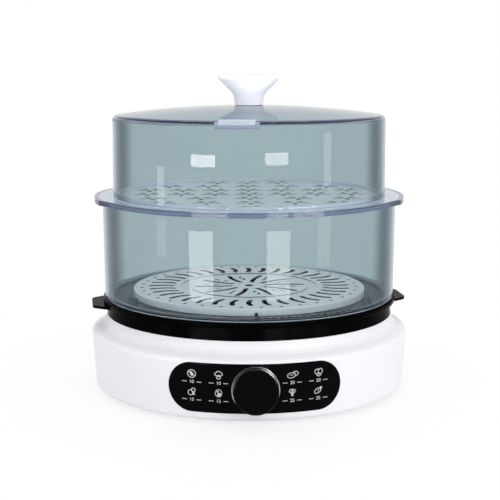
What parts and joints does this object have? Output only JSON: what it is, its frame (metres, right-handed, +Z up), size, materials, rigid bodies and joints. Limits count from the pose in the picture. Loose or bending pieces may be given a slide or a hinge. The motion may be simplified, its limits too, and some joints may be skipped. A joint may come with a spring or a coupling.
{
  "type": "electric food steamer",
  "caption": "Round electric food steamer: white base with push-and-turn knob, black drip tray, clear bowl, perforated tray and tall domed lid.",
  "frame": {"origin": "middle of the model's footprint on the table top, on the axis of base, bowls and lid", "axes": "+Z up along the common axis of base, bowls and lid; the control knob faces -Y and the cord gland +Y"},
  "size_m": [0.291, 0.3152, 0.2846],
  "materials": {
    "white_shell": "glossy white moulding",
    "black_gloss": "polished black moulding",
    "black_matte": "fine matte",
    "grey_matte": "matte grey",
    "clear_plastic": "clear polished",
    "frosted_plastic": "translucent pale grey",
    "steel": "brushed",
    "aluminium": "cast",
    "bezel_chrome": "polished",
    "screw_steel": "zinc plated",
    "rubber": "soft matte",
    "silicone": "soft translucent red",
    "board_green": "solder resist",
    "led_white": "diffused",
    "component_blue": "moulded case",
    "component_yellow": "taped winding",
    "cap_grey": "glossy"
  },
  "bodies": {
    "base": {"base_housing": "white_shell", "bottom_cover": "black_matte", "rubber_feet": "rubber", "bottom_screws": "screw_steel", "water_tank": "grey_matte", "tank_screws": "screw_steel", "heating_plate": "steel", "tank_seal": "silicone", "heating_element": "aluminium", "element_terminals": "screw_steel", "heater_clamp": "aluminium", "clamp_screws": "screw_steel", "thermostat": "screw_steel", "thermal_fuse": "screw_steel", "panel_overlay": "black_gloss", "knob_bezel": "bezel_chrome", "control_board": "board_green", "board_screws": "screw_steel", "indicator_leds": "led_white", "encoder_body": "steel", "power_board": "board_green", "power_board_screws": "screw_steel", "relay": "component_blue", "transformer": "component_yellow", "terminal_block": "component_blue", "buzzer": "black_matte", "cord_gland": "black_matte"},
    "knob_plunger": {"encoder_plunger": "black_matte"},
    "control_knob_body": {"encoder_shaft": "steel", "control_knob": "black_gloss"},
    "drip_tray_body": {"drip_tray": "black_gloss"},
    "lower_bowl_body": {"lower_bowl": "clear_plastic"},
    "steaming_plate_body": {"steaming_plate": "frosted_plastic"},
    "upper_tray_body": {"upper_tray": "clear_plastic"},
    "lid_body": {"lid_shell": "clear_plastic", "lid_knob": "white_shell", "knob_cap": "cap_grey", "knob_washer": "silicone", "knob_screw": "screw_steel"}
  },
  "joints": [
    {"name": "knob_press", "type": "slide", "parent": "base", "child": "knob_plunger", "axis": [0, 1, 0], "range_m": [0, 0.0015], "stiffness_N_per_m": 1200, "springref_m": -0.002},
    {"name": "knob_turn", "type": "hinge", "parent": "knob_plunger", "child": "control_knob_body", "pos_m": [0, -0.15, 0.0318], "axis": [0, -1, 0], "continuous": true},
    {"name": "drip_tray_lift", "type": "slide", "parent": "base", "child": "drip_tray_body", "axis": [0, 0, 1], "range_m": [0, 0.06]},
    {"name": "bowl_lift", "type": "slide", "parent": "drip_tray_body", "child": "lower_bowl_body", "axis": [0, 0, 1], "range_m": [0, 0.06]},
    {"name": "plate_lift", "type": "slide", "parent": "lower_bowl_body", "child": "steaming_plate_body", "axis": [0, 0, 1], "range_m": [0, 0.095]},
    {"name": "upper_tray_lift", "type": "slide", "parent": "steaming_plate_body", "child": "upper_tray_body", "axis": [0, 0, 1], "range_m": [0, 0.06]},
    {"name": "lid_lift", "type": "slide", "parent": "upper_tray_body", "child": "lid_body", "axis": [0, 0, 1], "range_m": [0, 0.09]}
  ]
}
